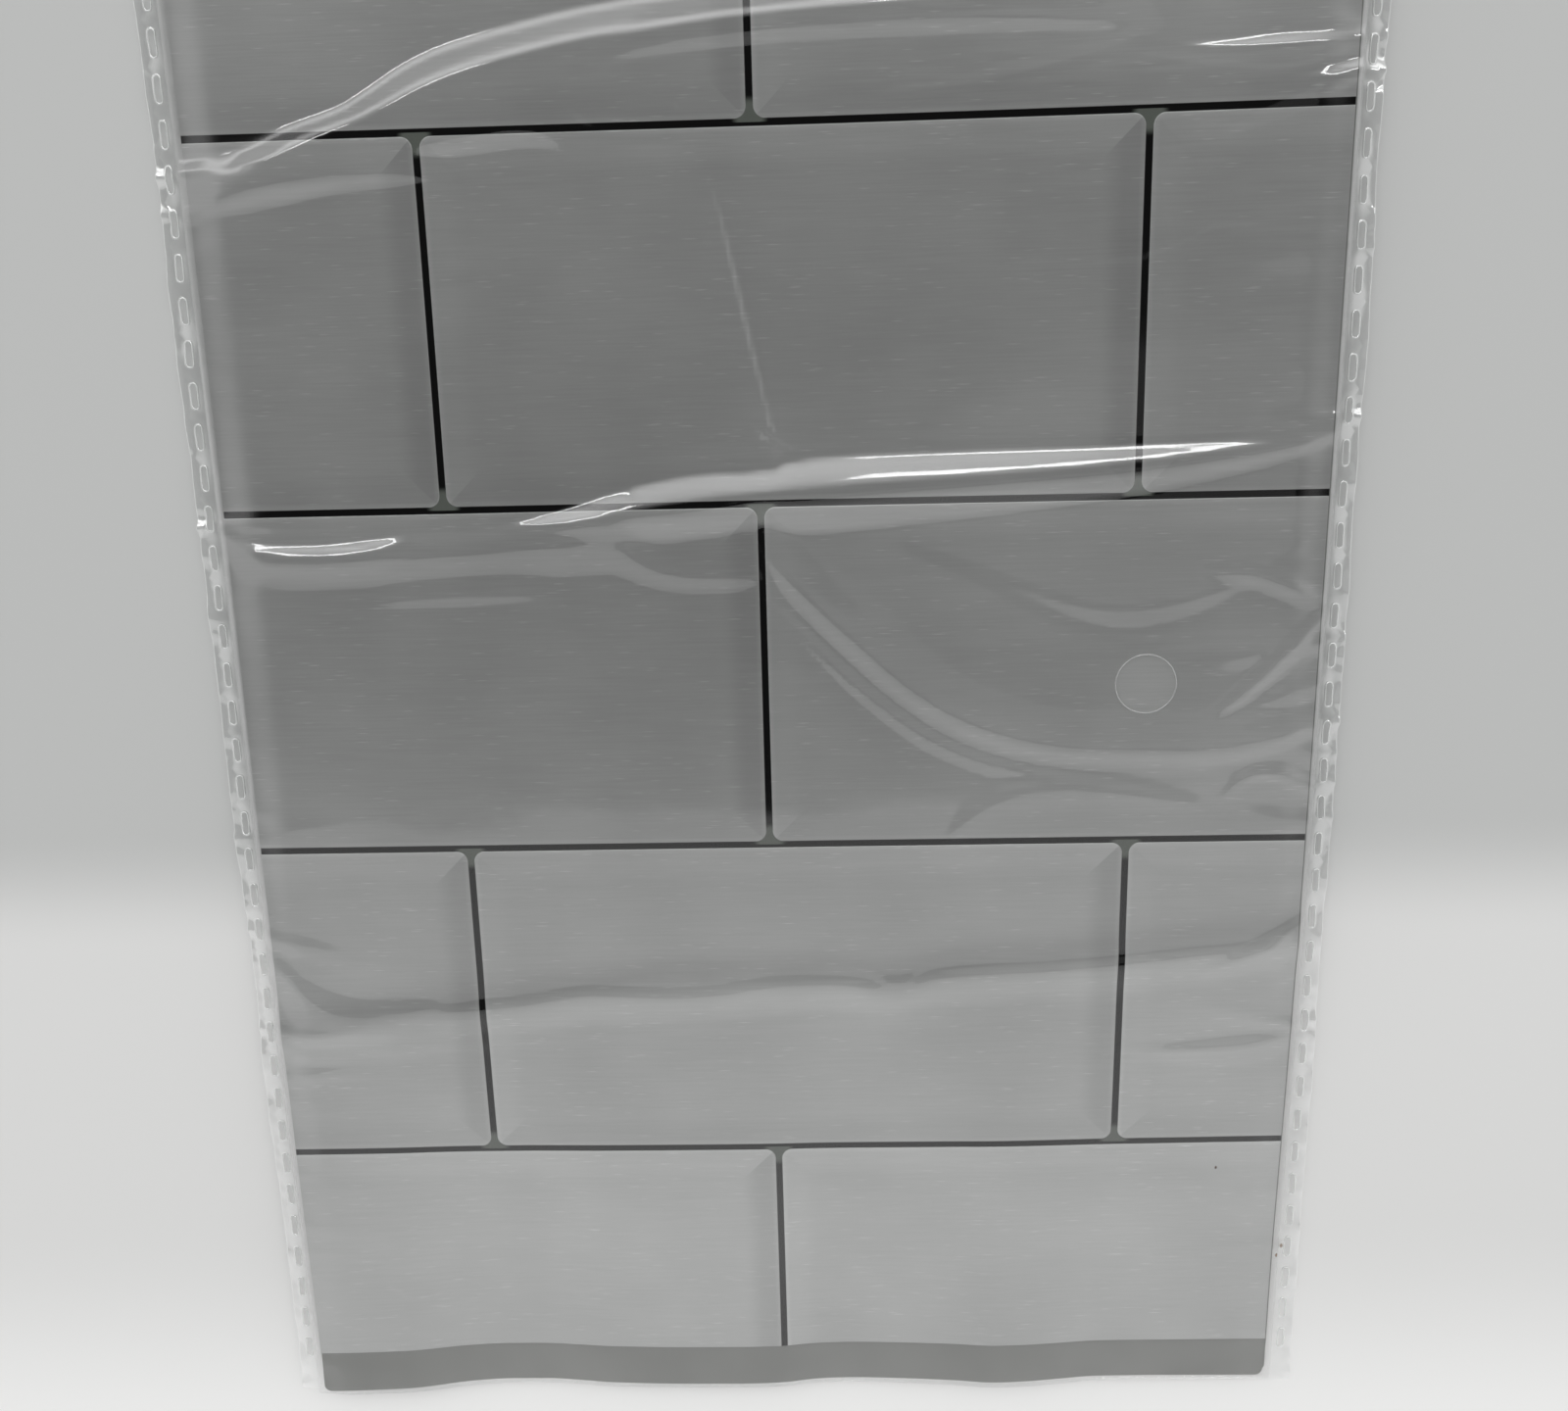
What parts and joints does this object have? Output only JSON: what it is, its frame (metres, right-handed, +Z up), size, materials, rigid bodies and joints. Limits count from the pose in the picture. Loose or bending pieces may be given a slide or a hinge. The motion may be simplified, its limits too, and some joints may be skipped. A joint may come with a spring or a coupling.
{
  "type": "bagged peel and stick tile sheets",
  "caption": "Flat pack of thin self-adhesive wall sheets with a running bond tile face, in a clear film bag with slotted welded sides and a round vent hole.",
  "frame": {"origin": "centre of the pack's underside, on the surface it lies on", "axes": "+X across the sheets, +Y up the tile wall towards the closed top of the bag, +Z up out of the tile face"},
  "size_m": [0.249, 0.4942, 0.008],
  "materials": {
    "tile_face": "brushed metal look print under a gloss film",
    "sheet_back": "satin grey backing",
    "hidden_face": "brushed metal look print under a gloss film",
    "clear_film": "clear glossy film"
  },
  "bodies": {
    "root": {"front_sheet": "tile_face", "middle_sheet": "sheet_back", "back_sheet": "hidden_face", "clear_bag": "clear_film"}
  },
  "joints": []
}
